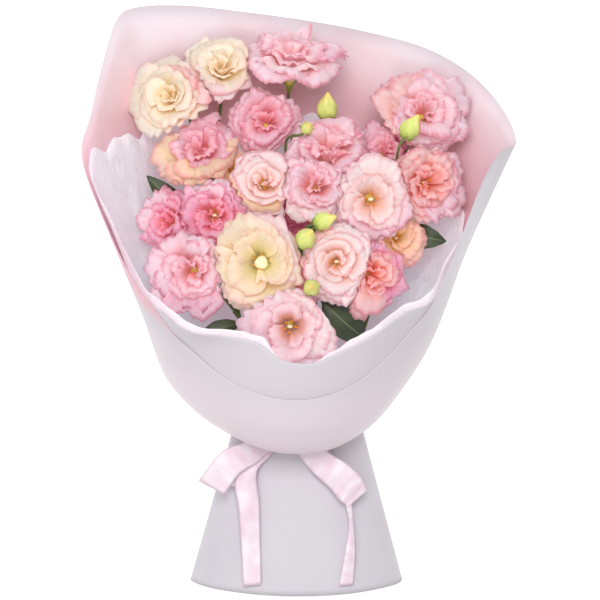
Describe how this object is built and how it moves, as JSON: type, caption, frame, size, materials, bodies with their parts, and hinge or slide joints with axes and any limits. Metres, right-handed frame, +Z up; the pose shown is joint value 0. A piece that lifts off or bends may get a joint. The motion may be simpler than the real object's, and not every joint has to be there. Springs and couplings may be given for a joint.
{
  "type": "lisianthus bouquet",
  "caption": "Hand bouquet of double lisianthus in pink paper, frosted film and white tissue, tied with a satin ribbon, lying on its back.",
  "frame": {"origin": "middle of the bounding box, on the surface that the bouquet lies on", "axes": "+Y along the stems towards the blooms, +X to the right seen from above, +Z up"},
  "size_m": [0.432, 0.598, 0.1844],
  "materials": {
    "pink_paper": "matte pearl",
    "frosted_film": "frosted",
    "tissue": "crinkled, translucent",
    "satin_ribbon": "satin",
    "twine": "matte",
    "green": "satin",
    "petal_pink": "soft matte",
    "petal_pale": "soft matte",
    "petal_cream": "soft matte"
  },
  "bodies": {
    "root": {"pink_paper": "pink_paper", "frosted_film": "frosted_film", "film_skirt": "frosted_film", "tissue_liner": "tissue", "satin_ribbon": "satin_ribbon", "stem_twine": "twine", "spray_front_far_left": "green", "spray_front_left": "green", "spray_front_right": "green", "spray_front_far_right": "green", "spray_middle_far_left": "green", "spray_middle_left": "green", "spray_middle_right": "green", "spray_middle_far_right": "green", "spray_back_far_left": "green", "spray_back_left": "green", "spray_back_right": "green", "spray_back_far_right": "green", "bloom_cream_left": "petal_pale", "bloom_cream_top": "petal_pale", "bloom_pink_top": "petal_pink", "bloom_pink_top_right": "petal_pink", "bloom_pink_upper": "petal_pink", "bloom_peach_left": "petal_pink", "bloom_peach_open": "petal_cream", "bloom_pale_upper": "petal_pale", "bloom_pink_wide": "petal_pink", "bloom_pink_middle": "petal_pink", "bloom_pale_right": "petal_cream", "bloom_coral_right": "petal_pink", "bloom_pink_left": "petal_pink", "bloom_deep_left": "petal_pink", "bloom_pale_left": "petal_pink", "bloom_cream_open": "petal_cream", "bloom_pale_rose": "petal_pale", "bloom_coral_lower": "petal_pink", "bloom_pink_low": "petal_pink", "bloom_pink_front": "petal_cream", "bloom_deep_back": "petal_pink", "bloom_coral_back": "petal_pink", "bloom_peach_back": "petal_cream"}
  },
  "joints": []
}
